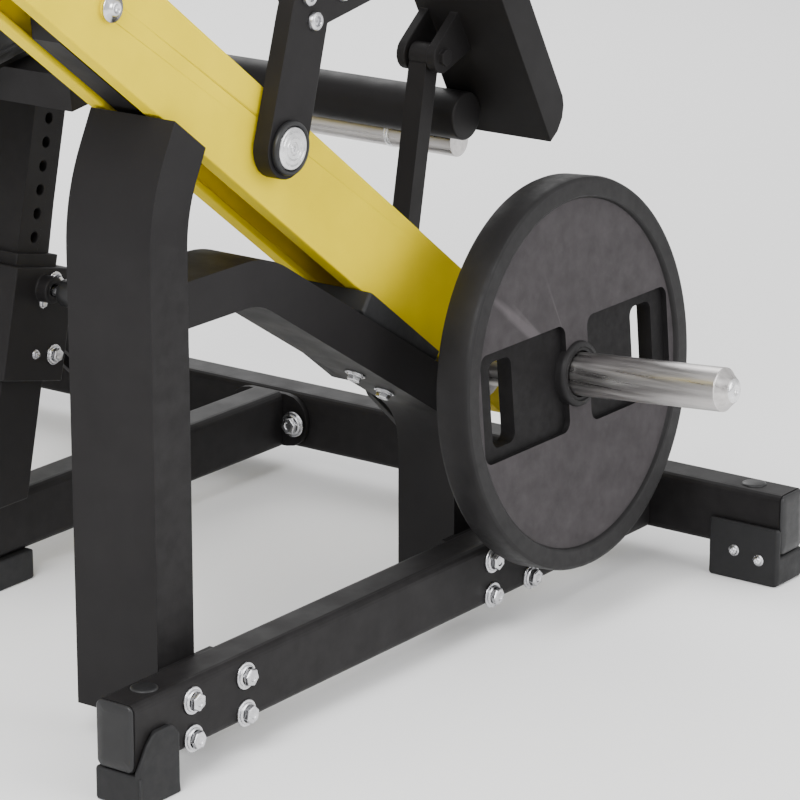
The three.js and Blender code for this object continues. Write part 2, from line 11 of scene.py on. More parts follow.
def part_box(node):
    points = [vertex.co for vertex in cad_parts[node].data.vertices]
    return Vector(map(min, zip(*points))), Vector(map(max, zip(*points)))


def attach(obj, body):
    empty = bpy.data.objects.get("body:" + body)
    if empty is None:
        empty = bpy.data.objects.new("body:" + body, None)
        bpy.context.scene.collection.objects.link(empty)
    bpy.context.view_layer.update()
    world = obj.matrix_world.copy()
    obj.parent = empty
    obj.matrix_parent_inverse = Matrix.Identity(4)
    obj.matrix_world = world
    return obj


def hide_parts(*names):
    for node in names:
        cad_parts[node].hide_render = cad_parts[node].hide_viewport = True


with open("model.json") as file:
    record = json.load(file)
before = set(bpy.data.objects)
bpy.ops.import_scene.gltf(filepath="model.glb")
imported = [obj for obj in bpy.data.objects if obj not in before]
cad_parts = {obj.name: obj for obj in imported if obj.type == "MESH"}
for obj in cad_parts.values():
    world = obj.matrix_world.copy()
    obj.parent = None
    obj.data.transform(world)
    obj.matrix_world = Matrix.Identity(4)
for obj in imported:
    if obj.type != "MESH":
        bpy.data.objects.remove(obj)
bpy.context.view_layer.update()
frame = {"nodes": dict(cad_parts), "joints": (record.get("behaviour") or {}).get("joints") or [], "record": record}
NODES = frame["nodes"]
JOINTS = {j["name"]: j for j in frame["joints"]}
SIDES = (("right", -1), ("left", 1))

# ---- Camera: the photograph's direction, from the seat end and the user's right ----
CAMERA_AT = Vector((-3.128, -2.9175, 1.528))
CAMERA_YAW = 0.63272
CAMERA_PITCH = 0.29568
CAMERA_LENS = 170.6


def make_camera():
    data = bpy.data.cameras.new("view")
    data.lens = CAMERA_LENS
    data.sensor_width = 36
    data.clip_end = 60
    camera = bpy.data.objects.new("view", data)
    bpy.context.scene.collection.objects.link(camera)
    level = math.cos(CAMERA_PITCH)
    way = Vector((level * math.cos(CAMERA_YAW), level * math.sin(CAMERA_YAW), -math.sin(CAMERA_PITCH)))
    camera.location = CAMERA_AT
    camera.rotation_mode = "QUATERNION"
    camera.rotation_quaternion = way.to_track_quat("-Z", "Y")
    bpy.context.scene.camera = camera


make_camera()


# ---- Materials ----
def start_material(name, color, roughness, metallic=0.0, **sockets):
    material = bpy.data.materials.new(name)
    material.use_nodes = True
    material.diffuse_color = (*color, 1)
    shader = material.node_tree.nodes["Principled BSDF"]
    shader.inputs["Base Color"].default_value = (*color, 1)
    shader.inputs["Roughness"].default_value = roughness
    shader.inputs["Metallic"].default_value = metallic
    for key, value in sockets.items():
        shader.inputs[key.replace("_", " ")].default_value = value
    return material, shader


def add_noise(tree, scale, detail=4.0, stretch=(1, 1, 1), rough=0.55):
    coords = tree.nodes.new("ShaderNodeTexCoord")
    mapping = tree.nodes.new("ShaderNodeMapping")
    mapping.inputs["Scale"].default_value = stretch
    texture = tree.nodes.new("ShaderNodeTexNoise")
    texture.inputs["Scale"].default_value = scale
    texture.inputs["Detail"].default_value = detail
    texture.inputs["Roughness"].default_value = rough
    tree.links.new(coords.outputs["Object"], mapping.inputs["Vector"])
    tree.links.new(mapping.outputs["Vector"], texture.inputs["Vector"])
    return texture.outputs["Fac"]


def ramp(tree, source, low, high, color_low, color_high):
    node = tree.nodes.new("ShaderNodeValToRGB")
    node.color_ramp.elements[0].position = low
    node.color_ramp.elements[1].position = high
    node.color_ramp.elements[0].color = (*color_low, 1)
    node.color_ramp.elements[1].color = (*color_high, 1)
    tree.links.new(source, node.inputs["Fac"])
    return node.outputs["Color"]


def grey(value):
    return (value, value, value)


def tint(color, factor):
    return tuple(min(1.0, c * factor) for c in color)


def mix(tree, factor, a, b, mode="MIX"):
    node = tree.nodes.new("ShaderNodeMix")
    node.data_type = "RGBA"
    node.blend_type = mode
    tree.links.new(factor, node.inputs["Factor"])
    for value, socket in ((a, "A"), (b, "B")):
        target = [i for i in node.inputs if i.name == socket and i.type == "RGBA"][0]
        if isinstance(value, tuple):
            target.default_value = (*value, 1)
        else:
            tree.links.new(value, target)
    return [o for o in node.outputs if o.type == "RGBA"][0]


def bump(tree, shader, height, strength, distance, under=None):
    node = tree.nodes.new("ShaderNodeBump")
    node.inputs["Strength"].default_value = strength
    node.inputs["Distance"].default_value = distance
    tree.links.new(height, node.inputs["Height"])
    if under is not None:
        tree.links.new(under, node.inputs["Normal"])
    tree.links.new(node.outputs["Normal"], shader.inputs["Normal"])
    return node.outputs["Normal"]


def edge_wear(tree, low=0.53, high=0.62):
    geometry = tree.nodes.new("ShaderNodeNewGeometry")
    return ramp(tree, geometry.outputs["Pointiness"], low, high, grey(0), grey(1))


def coated(name, color, roughness, fine=900, peel=0.12, wear=0.25, worn=(0.16, 0.155, 0.155), **sockets):
    """Powder coat: fine orange peel, a faint cloudiness, and edges rubbed a little lighter."""
    material, shader = start_material(name, color, roughness, **sockets)
    tree = material.node_tree
    clouds = ramp(tree, add_noise(tree, 7, 3), 0.3, 0.7, tint(color, 0.9), tint(color, 1.1))
    dust = ramp(tree, add_noise(tree, 260, 2), 0.62, 0.76, grey(0), grey(wear * 0.5))
    base = mix(tree, dust, clouds, worn)
    edges = edge_wear(tree)
    scratch = ramp(tree, add_noise(tree, 60, 5), 0.35, 0.65, grey(0), grey(wear))
    gate = mix(tree, edges, grey(0), scratch)
    tree.links.new(mix(tree, gate, base, worn), shader.inputs["Base Color"])
    shine = ramp(tree, add_noise(tree, 24, 4), 0.3, 0.7, grey(roughness - 0.05), grey(roughness + 0.07))
    tree.links.new(shine, shader.inputs["Roughness"])
    bump(tree, shader, add_noise(tree, fine, 2), peel, 0.0004)
    return material


def moulded(name, color, roughness, fine=1400, depth=0.3, **sockets):
    """Moulded rubber or plastic: pebbled surface and uneven dullness."""
    material, shader = start_material(name, color, roughness, **sockets)
    tree = material.node_tree
    tone = ramp(tree, add_noise(tree, 38, 5), 0.3, 0.72, tint(color, 0.82), tint(color, 1.22))
    rub = mix(tree, edge_wear(tree, 0.52, 0.6), tone, tint(color, 1.9))
    tree.links.new(rub, shader.inputs["Base Color"])
    dull = ramp(tree, add_noise(tree, 90, 4), 0.3, 0.7, grey(roughness - 0.08), grey(roughness + 0.08))
    tree.links.new(dull, shader.inputs["Roughness"])
    bump(tree, shader, add_noise(tree, fine, 3), depth, 0.0005)
    return material


def turned(name, color, roughness, stretch, scale=60, **sockets):
    """Bright steel with fine lines from turning or brushing, and faint stains."""
    material, shader = start_material(name, color, roughness, metallic=1.0, **sockets)
    tree = material.node_tree
    lines = add_noise(tree, scale, 4, stretch)
    tone = ramp(tree, lines, 0.3, 0.7, tint(color, 0.8), tint(color, 1.12))
    stains = ramp(tree, add_noise(tree, 18, 4), 0.45, 0.75, grey(0), grey(0.35))
    tree.links.new(mix(tree, stains, tone, tint(color, 0.62)), shader.inputs["Base Color"])
    dull = ramp(tree, lines, 0.25, 0.75, grey(roughness - 0.08), grey(roughness + 0.14))
    tree.links.new(dull, shader.inputs["Roughness"])
    bump(tree, shader, lines, 0.08, 0.0002)
    return material


def vinyl(name, color):
    """Upholstery vinyl: cell grain with painted shade in its grooves, fine creases and a soft sheen."""
    material, shader = start_material(
        name, color, 0.5, Sheen_Weight=0.06, Sheen_Roughness=0.5, Specular_IOR_Level=0.25)
    tree = material.node_tree
    coords = tree.nodes.new("ShaderNodeTexCoord")
    cells = tree.nodes.new("ShaderNodeTexVoronoi")
    cells.feature = "DISTANCE_TO_EDGE"
    cells.inputs["Scale"].default_value = 620
    tree.links.new(coords.outputs["Object"], cells.inputs["Vector"])
    tone = ramp(tree, add_noise(tree, 12, 4), 0.3, 0.7, tint(color, 0.85), tint(color, 1.25))
    # The grain's grooves are painted darker: painted shade in the grooves
    groove_painted_shade = ramp(tree, cells.outputs["Distance"], 0.0, 0.12, grey(1), grey(0))
    tree.links.new(mix(tree, groove_painted_shade, tone, tint(color, 0.6)), shader.inputs["Base Color"])
    dull = ramp(tree, add_noise(tree, 30, 3), 0.3, 0.7, grey(0.42), grey(0.58))
    tree.links.new(dull, shader.inputs["Roughness"])
    creases = bump(tree, shader, add_noise(tree, 55, 5), 0.15, 0.002)
    bump(tree, shader, cells.outputs["Distance"], 0.35, 0.0004, creases)
    return material


CHARCOAL = (0.0098, 0.0090, 0.0093)
FRAME = coated("frame_coat", CHARCOAL, 0.5, wear=0.12, worn=(0.045, 0.044, 0.044), Specular_IOR_Level=0.14)
YELLOW = coated("lever_coat", (0.70, 0.535, 0.0), 0.45, peel=0.06, wear=0.06, worn=(0.78, 0.62, 0.02),
                Specular_IOR_Level=0.05)
RUBBER = moulded("foot_rubber", (0.0085, 0.0085, 0.009), 0.6, Specular_IOR_Level=0.25)
GRIP = moulded("grip_rubber", (0.009, 0.009, 0.0095), 0.7, Specular_IOR_Level=0.3)
MAT = moulded("mat_rubber", (0.013, 0.013, 0.0135), 0.72, Specular_IOR_Level=0.3)
FACE = moulded("plate_face", (0.036, 0.032, 0.034), 0.7, fine=1500, depth=0.5, Specular_IOR_Level=0.2)
RIM = moulded("plate_rim", (0.0085, 0.008, 0.0083), 0.5, depth=0.2, Specular_IOR_Level=0.18)
# Plate recesses and slot walls: a darker black than the face, painted shade in the recesses and slots
RECESS_PAINTED_SHADE = moulded("plate_recess_painted_shade", (0.0065, 0.006, 0.0063), 0.6, depth=0.2, Specular_IOR_Level=0.12)
CAP_BLACK = moulded("cap_plastic", (0.010, 0.010, 0.0105), 0.42, depth=0.12, Specular_IOR_Level=0.3)
ZINC = turned("zinc", (0.66, 0.66, 0.68), 0.26, (1, 1, 1))
HORN = turned("horn_steel", (0.55, 0.53, 0.52), 0.3, (1, 0.02, 1), 160)
STEEL = turned("machined", (0.78, 0.78, 0.79), 0.22, (1, 1, 1), 90)
PAD = vinyl("pad_vinyl", (0.0095, 0.0095, 0.0105))
THREAD = moulded("thread", (0.06, 0.06, 0.065), 0.8)
WELD = coated("weld_bead", tint(CHARCOAL, 1.15), 0.42, peel=0.2, wear=0.1)


# ---- Mesh helpers ----
def piece(name, bm, material, body, smooth=True):
    """A new mesh piece in the row frame, riding on a body."""
    bmesh.ops.recalc_face_normals(bm, faces=bm.faces)
    mesh = bpy.data.meshes.new(name)
    bm.to_mesh(mesh)
    bm.free()
    obj = bpy.data.objects.new(name, mesh)
    bpy.context.scene.collection.objects.link(obj)
    for face in mesh.polygons:
        face.use_smooth = smooth
    mesh.materials.append(material)
    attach(obj, body)
    return obj


def soften(obj, width, segments=2, angle=32, weld=False):
    """Rounds the sharp edges by a modifier and shades the rest smooth."""
    if weld:
        obj.modifiers.new("weld", "WELD").merge_threshold = 0.00002
    bevel = obj.modifiers.new("bevel", "BEVEL")
    bevel.width = width
    bevel.segments = segments
    bevel.limit_method = "ANGLE"
    bevel.angle_limit = math.radians(angle)
    bevel.harden_normals = True
    bevel.use_clamp_overlap = True
    normals = obj.modifiers.new("normals", "WEIGHTED_NORMAL")
    normals.keep_sharp = True


def turned_mesh(profile, turn, steps=64):
    """Revolves (radius, height) points round Z, then places them by a matrix."""
    bm = bmesh.new()
    rings = []
    for radius, height in profile:
        if radius < 1e-7:
            rings.append([bm.verts.new((0, 0, height))])
            continue
        ring = []
        for i in range(steps):
            angle = 2 * math.pi * i / steps
            ring.append(bm.verts.new((radius * math.cos(angle), radius * math.sin(angle), height)))
        rings.append(ring)
    for low, high in zip(rings, rings[1:]):
        for i in range(steps):
            j = (i + 1) % steps
            corners = [low[i % len(low)], low[j % len(low)], high[j % len(high)], high[i % len(high)]]
            unique = list(dict.fromkeys(corners))
            if len(unique) > 2:
                bm.faces.new(unique)
    bmesh.ops.transform(bm, matrix=turn, verts=bm.verts)
    return bm


def axis_matrix(at, way):
    """Puts local Z along a direction, at a point."""
    return Matrix.Translation(at) @ Vector(way).to_track_quat("Z", "Y").to_matrix().to_4x4()


def turned_piece(name, profile, at, way, steps, material, body):
    """A turned piece that stands on a point."""
    return piece(name, turned_mesh(profile, axis_matrix(at, way), steps), material, body)


def sweep(points, radius, sides=16, closed=False, caps=True):
    """A round tube along a list of points."""
    bm = bmesh.new()
    count = len(points)
    rings = []
    up = Vector((0.03, 0.05, 1)).normalized()
    for i, point in enumerate(points):
        before = points[(i - 1) % count] if closed else points[max(i - 1, 0)]
        after = points[(i + 1) % count] if closed else points[min(i + 1, count - 1)]
        way = (after - before).normalized()
        across = way.cross(up)
        if across.length < 0.2:
            across = way.cross(Vector((1, 0, 0)))
        across.normalize()
        lift = across.cross(way)
        size = radius(i / max(count - 1, 1)) if callable(radius) else radius
        ring = []
        for k in range(sides):
            angle = 2 * math.pi * k / sides
            offset = across * math.cos(angle) * size + lift * math.sin(angle) * size
            ring.append(bm.verts.new(point + offset))
        rings.append(ring)
    pairs = list(zip(rings, rings[1:]))
    if closed:
        pairs.append((rings[-1], rings[0]))
    for low, high in pairs:
        for k in range(sides):
            m = (k + 1) % sides
            bm.faces.new((low[k], low[m], high[m], high[k]))
    if caps and not closed:
        bm.faces.new(rings[0])
        bm.faces.new(list(reversed(rings[-1])))
    return bm


# ---- CAD nodes: finishes and softened edges ----
# Edge radii of nodes that differ from their slot's; 0 leaves the rounding of the CAD solid
WIDE_EDGES = {
    "column": 0.010, "bent_tube": 0.008, "slab": 0.012, "arm": 0.003, "rail": 0.0, "cross_beam": 0.0}
FINISH = {
    "frame": (FRAME, 0.0022), "lever_yellow": (YELLOW, 0.0022), "rubber": (RUBBER, 0.004),
    "foot_mat": (MAT, 0.001), "grip": (GRIP, 0.002), "plate_iron": (FACE, 0.002),
    "bright_steel": (ZINC, 0.0009), "chrome": (HORN, 0.0012), "upholstery": (PAD, 0.004),
}
SLOT_OF = {row["node"]: row["material_slot"] for row in frame["record"]["subparts"]}
for node_name, node in NODES.items():
    finish, width = FINISH[SLOT_OF[node_name]]
    for ending, wide in WIDE_EDGES.items():
        if node_name.endswith(ending):
            width = wide
    node.data.materials.clear()
    node.data.materials.append(finish)
    for face in node.data.polygons:
        face.use_smooth = True
        face.material_index = 0
    if width:
        soften(node, width, 4 if width > 0.005 else 2, weld=True)


# ---- Screws, plugs, welds ----
def dome_bolt(name, at, way, radius, body, material=ZINC):
    """A dome-headed cap screw on a washer, with a round socket."""
    r = radius
    shape = [(0, 0), (1.35, 0), (1.35, 0.18), (1.02, 0.2), (1, 0.34), (0.92, 0.62), (0.72, 0.86), (0.5, 0.94),
             (0.46, 0.9), (0.42, 0.45), (0, 0.4)]
    profile = [(r * across, r * up) for across, up in shape]
    return turned_piece(name, profile, at, way, 28, material, body)


def weld_bead(name, points, radius, body):
    """A rippled bead along a line."""
    dense = []
    for a, b in zip(points, points[1:]):
        steps = max(3, int((b - a).length / 0.003))
        dense += [a.lerp(b, i / steps) for i in range(steps)]
    dense.append(points[-1])
    for i, p in enumerate(dense):
        dense[i] = p + noise.noise_vector(p * 400) * 0.0006

    def ripple(along):
        return radius * (1 + 0.16 * math.sin(along * len(dense) * 1.9))

    return piece(name, sweep(dense, ripple, 10), WELD, body)


def add_base_details():
    for side, s in SIDES:
        rail_low, rail_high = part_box(f"{side}_side_rail")
        shoe_low, shoe_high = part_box(f"{side}_rear_foot")
        outer = shoe_low.y if s < 0 else shoe_high.y
        seam = [Vector((shoe_low.x + 0.002, outer, z)) for z in (0.004, 0.034)]
        piece(f"{side}_rear_foot_rib", sweep(seam, 0.0016, 8), RUBBER, "frame")
        plug_at = Vector((rail_low.x + 0.045, (rail_low.y + rail_high.y) / 2, rail_high.z))
        plug = [(0, 0.0022), (0.012, 0.0022), (0.0145, 0.0012), (0.015, -0.001), (0, -0.001)]
        turned_piece(f"{side}_rail_plug", plug, plug_at, (0, 0, 1), 32, CAP_BLACK, "frame")
        end = Vector((rail_low.x - 0.0004, (rail_low.y + rail_high.y) / 2, (rail_low.z + rail_high.z) / 2))
        end_cap(f"{side}_rail_end", end, Vector((-1, 0, 0)), 0.050, 0.075, "frame")
        foot_low, foot_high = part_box(f"{side}_front_foot")
        for i, (dy, z) in enumerate(((0.026, 0.030), (0.060, 0.036))):
            y = s * (max(abs(foot_low.y), abs(foot_high.y)) - dy)
            dome_bolt(f"{side}_front_foot_screw_{i}", Vector((foot_low.x, y, z)), (-1, 0, 0), 0.0052, "frame")
        beam_low, beam_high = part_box("cross_beam")
        beam_y = beam_high.y
        top_at = Vector(((beam_low.x + beam_high.x) / 2, s * (beam_y - 0.05), beam_high.z))
        turned_piece(f"{side}_beam_plug", plug, top_at, (0, 0, 1), 32, CAP_BLACK, "frame")
        end = Vector(((beam_low.x + beam_high.x) / 2, s * (beam_y + 0.0004), (beam_low.z + beam_high.z) / 2))
        end_cap(f"{side}_beam_end", end, Vector((0, s, 0)), 0.050, 0.075, "frame")


def end_cap(name, at, way, width, tall, body):
    """A push-in plastic cap that closes a rectangular tube."""
    across = way.cross(Vector((0, 0, 1))).normalized()
    lift = across.cross(way)
    bm = bmesh.new()
    rings = []
    for inset, out in ((0.001, -0.0002), (0.001, 0.002), (0.003, 0.0034), (0.012, 0.0038)):
        ring = []
        half_w, half_t, r = width / 2 - inset, tall / 2 - inset, max(0.009 - inset, 0.001)
        for k in range(32):
            angle = 2 * math.pi * (k + 0.5) / 32
            cx = math.copysign(half_w - r, math.cos(angle)) + r * math.cos(angle)
            cy = math.copysign(half_t - r, math.sin(angle)) + r * math.sin(angle)
            ring.append(bm.verts.new(at + across * cx + lift * cy + way * out))
        rings.append(ring)
    for low, high in zip(rings, rings[1:]):
        for k in range(32):
            m = (k + 1) % 32
            bm.faces.new((low[k], low[m], high[m], high[k]))
    bm.faces.new(rings[0])
    bm.faces.new(rings[-1])
    return piece(name, bm, CAP_BLACK, body)


add_base_details()


# ---- Rail and flange bolts ----
def hex_bolt_mesh(at, way, size, turn=0.2):
    """A washer, a flanged hexagon head with chamfered corners, and a shallow cup in its top."""
    r = size
    here = Matrix.Identity(4)
    washer = [(0, 0), (1.42, 0), (1.46, 0.08), (1.42, 0.24), (1.1, 0.26), (0, 0.26)]
    bm = turned_mesh([(r * across, r * up) for across, up in washer], here, 32)
    flange = [(0, 0.26), (1.18, 0.26), (1.16, 0.36), (0.98, 0.46)]
    head = turned_mesh([(r * across, r * up) for across, up in flange], here, 24)
    rings = []
    for reach, height in ((0.98, 0.44), (0.98, 0.98), (0.9, 1.08), (0.5, 1.1), (0.42, 1.02), (0, 0.98)):
        if reach == 0:
            rings.append([head.verts.new((0, 0, r * height))])
            continue
        ring = []
        for k in range(24):
            angle = 2 * math.pi * k / 24 + turn
            flat = math.cos(math.pi / 6) / math.cos((2 * math.pi * k / 24) % (math.pi / 3) - math.pi / 6)
            across = r * reach * (flat if reach > 0.85 else 0.9)
            ring.append(head.verts.new((across * math.cos(angle), across * math.sin(angle), r * height)))
        rings.append(ring)
    for low, high in zip(rings, rings[1:]):
        for k in range(24):
            corners = [low[k], low[(k + 1) % 24], high[(k + 1) % len(high)], high[k % len(high)]]
            unique = list(dict.fromkeys(corners))
            head.faces.new(unique)
    spare = bpy.data.meshes.new("spare")
    head.to_mesh(spare)
    head.free()
    bm.from_mesh(spare)
    bpy.data.meshes.remove(spare)
    bmesh.ops.transform(bm, matrix=axis_matrix(at, way), verts=bm.verts)
    return bm


def merged(parts):
    bm = bmesh.new()
    for part in parts:
        spare = bpy.data.meshes.new("spare")
        part.to_mesh(spare)
        part.free()
        bm.from_mesh(spare)
        bpy.data.meshes.remove(spare)
    return bm


def add_rail_bolts():
    for side, s in SIDES:
        rail_low, rail_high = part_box(f"{side}_side_rail")
        face = rail_low.y if s < 0 else rail_high.y
        for place in ("rear", "front"):
            node = f"{side}_{place}_rail_bolts"
            low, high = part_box(node)
            xs = (low.x + 0.013, high.x - 0.013)
            zs = (0.048, 0.090)
            bolts = []
            for i, x in enumerate(xs):
                for k, z in enumerate(zs):
                    if place == "front" and i == 1 and k == 1:
                        continue
                    at = Vector((x, face + s * 0.0001, z))
                    bolts.append(hex_bolt_mesh(at, (0, s, 0), 0.0104, 0.3 * i + 0.5 * k))
            obj = piece(f"{node}_detail", merged(bolts), ZINC, "frame")
            soften(obj, 0.0006, 2)
            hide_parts(node)


add_rail_bolts()

low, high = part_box("centre_rail_flange")
for i, y in enumerate((-0.048, 0.048)):
    at = Vector((low.x - 0.0002, y, (low.z + high.z) / 2))
    obj = piece(f"flange_bolt_{i}", hex_bolt_mesh(at, (-1, 0, 0), 0.0115), ZINC, "frame")
    soften(obj, 0.0006, 2)


# ---- Pivot caps and arm bolts ----
LEVER_FACE = 0.498  # outer face of the yellow levers
LEVER_SHAFT = 0.0041  # how far the lever's shaft stands out of that face
ARM_BOLTS = ((-0.0239, 0.776), (-0.0139, 0.748), (0.0361, 0.772))
CAP_LIP = [(0.0235, 0), (0.0285, 0), (0.0295, 0.003), (0.0285, 0.0065), (0.0262, 0.0075), (0.0245, 0.0065),
           (0.0235, 0.004), (0.0235, 0)]
CAP = [(0, 0.0005), (0.0232, 0.0005), (0.0232, 0.0062), (0.0222, 0.0074), (0.0188, 0.0078), (0.0184, 0.0070),
       (0.0176, 0.0070), (0.0172, 0.0079), (0.0128, 0.0082), (0.0124, 0.0074), (0.0116, 0.0074),
       (0.0112, 0.0083), (0.0072, 0.0084), (0.0066, 0.0070), (0.0052, 0.0070), (0.0050, 0.0086),
       (0.0028, 0.0088), (0.0024, 0.0062), (0, 0.0060)]
RING_BOLT = [(0, 0), (0.0105, 0), (0.0108, 0.0015), (0.0098, 0.0048), (0.0080, 0.0062), (0.0056, 0.0062),
             (0.0050, 0.0050), (0.0048, 0.0020), (0, 0.0016)]
LEVER_BOLT = [(0, 0), (0.0145, 0), (0.0148, 0.001), (0.0145, 0.0026), (0.0085, 0.0028), (0.0082, 0.0058),
              (0.0068, 0.0074), (0.0042, 0.0078), (0.0038, 0.0050), (0, 0.0048)]


def add_arm_details():
    for side, s in SIDES:
        low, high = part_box(f"{side}_pivot_cap")
        middle_at = (low + high) / 2
        arm_low, arm_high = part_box(f"{side}_arm")
        face = arm_low.y if s < 0 else arm_high.y
        out = (0, s, 0)
        at = Vector((middle_at.x, face, middle_at.z))
        turned_piece(f"{side}_cap_ring", CAP_LIP, at, out, 64, CAP_BLACK, "press_frame")
        cap = turned_piece(f"{side}_pivot_cap_detail", CAP, at, out, 64, STEEL, "press_frame")
        soften(cap, 0.0003, 2)
        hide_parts(f"{side}_pivot_cap")
        bolts = [turned_mesh(RING_BOLT, axis_matrix(Vector((x, face, z)), out), 32) for x, z in ARM_BOLTS]
        bolts = piece(f"{side}_arm_bolts_detail", merged(bolts), ZINC, "press_frame")
        soften(bolts, 0.0004, 2)
        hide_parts(f"{side}_arm_bolts")
        pivot = JOINTS[f"{side}_lever_lift"]["pos_m"]
        at = Vector((pivot[0], s * LEVER_FACE + s * LEVER_SHAFT, pivot[2]))
        turned_piece(f"{side}_lever_bolt", LEVER_BOLT, at, out, 36, ZINC, f"{side}_lever")


add_arm_details()


# ---- Weight plate: raised rim, sunk face, grip recesses and slots ----
PLATE_R = 0.225
PLATE_HALF = 0.022
HORN_TILT = 0.0785
RIM_IN = 0.1995
RECESS = {"inner": 0.022, "outer": 0.189, "half": 0.062, "round": 0.013, "depth": 0.007}
SLOT = {"x": 0.1425, "half_x": 0.0215, "half_z": 0.049, "round": 0.011}
FACE_LEVEL = 0.0165


def rounded_prism(x0, x1, half_z, corner, y0, y1):
    """A prism along Y with rounded corners."""
    bm = bmesh.new()
    outline = []
    for sx, sz, start in ((1, 1, 0), (-1, 1, 90), (-1, -1, 180), (1, -1, 270)):
        for k in range(9):
            angle = math.radians(start + 90 * k / 8)
            x = (x1 if sx > 0 else x0) - sx * corner + corner * math.cos(angle)
            z = sz * (half_z - corner) + corner * math.sin(angle)
            outline.append((x, z))
    near = [bm.verts.new((x, y0, z)) for x, z in outline]
    far = [bm.verts.new((x, y1, z)) for x, z in outline]
    for k in range(len(outline)):
        m = (k + 1) % len(outline)
        bm.faces.new((near[k], near[m], far[m], far[k]))
    bm.faces.new(near)
    bm.faces.new(far)
    bmesh.ops.recalc_face_normals(bm, faces=bm.faces)
    return bm


def plain_object(name, bm):
    mesh = bpy.data.meshes.new(name)
    bmesh.ops.recalc_face_normals(bm, faces=bm.faces)
    bm.to_mesh(mesh)
    bm.free()
    obj = bpy.data.objects.new(name, mesh)
    bpy.context.scene.collection.objects.link(obj)
    return obj


def bake(obj):
    """Applies an object's modifiers to its mesh."""
    graph = bpy.context.evaluated_depsgraph_get()
    mesh = bpy.data.meshes.new_from_object(obj.evaluated_get(graph))
    obj.modifiers.clear()
    obj.data = mesh


def cut(obj, cutters):
    """Takes the cutters out of a mesh, and removes them."""
    for cutter in cutters:
        boolean = obj.modifiers.new("cut", "BOOLEAN")
        boolean.operation = "DIFFERENCE"
        boolean.solver = "EXACT"
        boolean.object = cutter
    bpy.context.view_layer.update()
    bake(obj)
    for cutter in cutters:
        bpy.data.objects.remove(cutter)


def add_weight_plate():
    low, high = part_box("weight_plate")
    place = Matrix.Translation((low + high) / 2) @ Matrix.Rotation(-HORN_TILT, 4, "X")
    half, level = PLATE_HALF, FACE_LEVEL
    outer = [(0.0265, level), (RIM_IN, level), (RIM_IN + 0.0012, half - 0.0016), (RIM_IN + 0.0035, half),
             (PLATE_R - 0.0050, half), (PLATE_R - 0.0015, half - 0.0015), (PLATE_R, half - 0.0055)]
    profile = outer + [(r, -h) for r, h in reversed(outer)] + [outer[0]]
    stand = Matrix.Rotation(math.pi / 2, 4, "X")
    disc = plain_object("weight_plate_detail", turned_mesh(profile, stand, 144))
    cutters = []
    for way in (1, -1):
        for face in (1, -1):
            x0, x1 = sorted((way * RECESS["inner"], way * RECESS["outer"]))
            y0, y1 = sorted((face * (level - RECESS["depth"]), face * (half + 0.01)))
            bm = rounded_prism(x0, x1, RECESS["half"], RECESS["round"], y0, y1)
            cutters.append(plain_object("recess", bm))
        x = way * SLOT["x"]
        bm = rounded_prism(x - SLOT["half_x"], x + SLOT["half_x"], SLOT["half_z"], SLOT["round"], -0.05, 0.05)
        cutters.append(plain_object("slot", bm))
    cut(disc, cutters)
    disc.data.materials.clear()
    for material in (FACE, RIM, RECESS_PAINTED_SHADE):
        disc.data.materials.append(material)
    for face in disc.data.polygons:
        c = face.center
        radius = math.hypot(c.x, c.z)
        in_recess = abs(c.y) < level - 0.0005
        on_face = abs(abs(c.y) - level) < 0.0003
        if on_face:
            face.material_index = 0
        elif radius > RIM_IN - 0.0002:
            face.material_index = 1
        else:
            # Recess floors and walls, and the slot walls, take the painted-shade black
            face.material_index = 2 if in_recess else 0
        face.use_smooth = abs(face.normal.y) <= 0.999
    disc.data.transform(place)
    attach(disc, "weight_plate")
    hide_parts("weight_plate")
    rounding = disc.modifiers.new("bevel", "BEVEL")
    rounding.width = 0.0012
    rounding.segments = 3
    rounding.limit_method = "ANGLE"
    rounding.angle_limit = math.radians(40)
    hub = [(0.0265, -0.0215), (0.0350, -0.0215), (0.0368, -0.0200), (0.0380, -0.0160), (0.0380, 0.0160),
           (0.0368, 0.0200), (0.0350, 0.0215), (0.0310, 0.0218), (0.0300, 0.0204), (0.0265, 0.0204),
           (0.0265, -0.0215)]
    ring = piece("plate_hub", turned_mesh(hub, place @ stand, 72), RIM, "weight_plate")
    soften(ring, 0.0005, 2, 40, weld=True)


add_weight_plate()


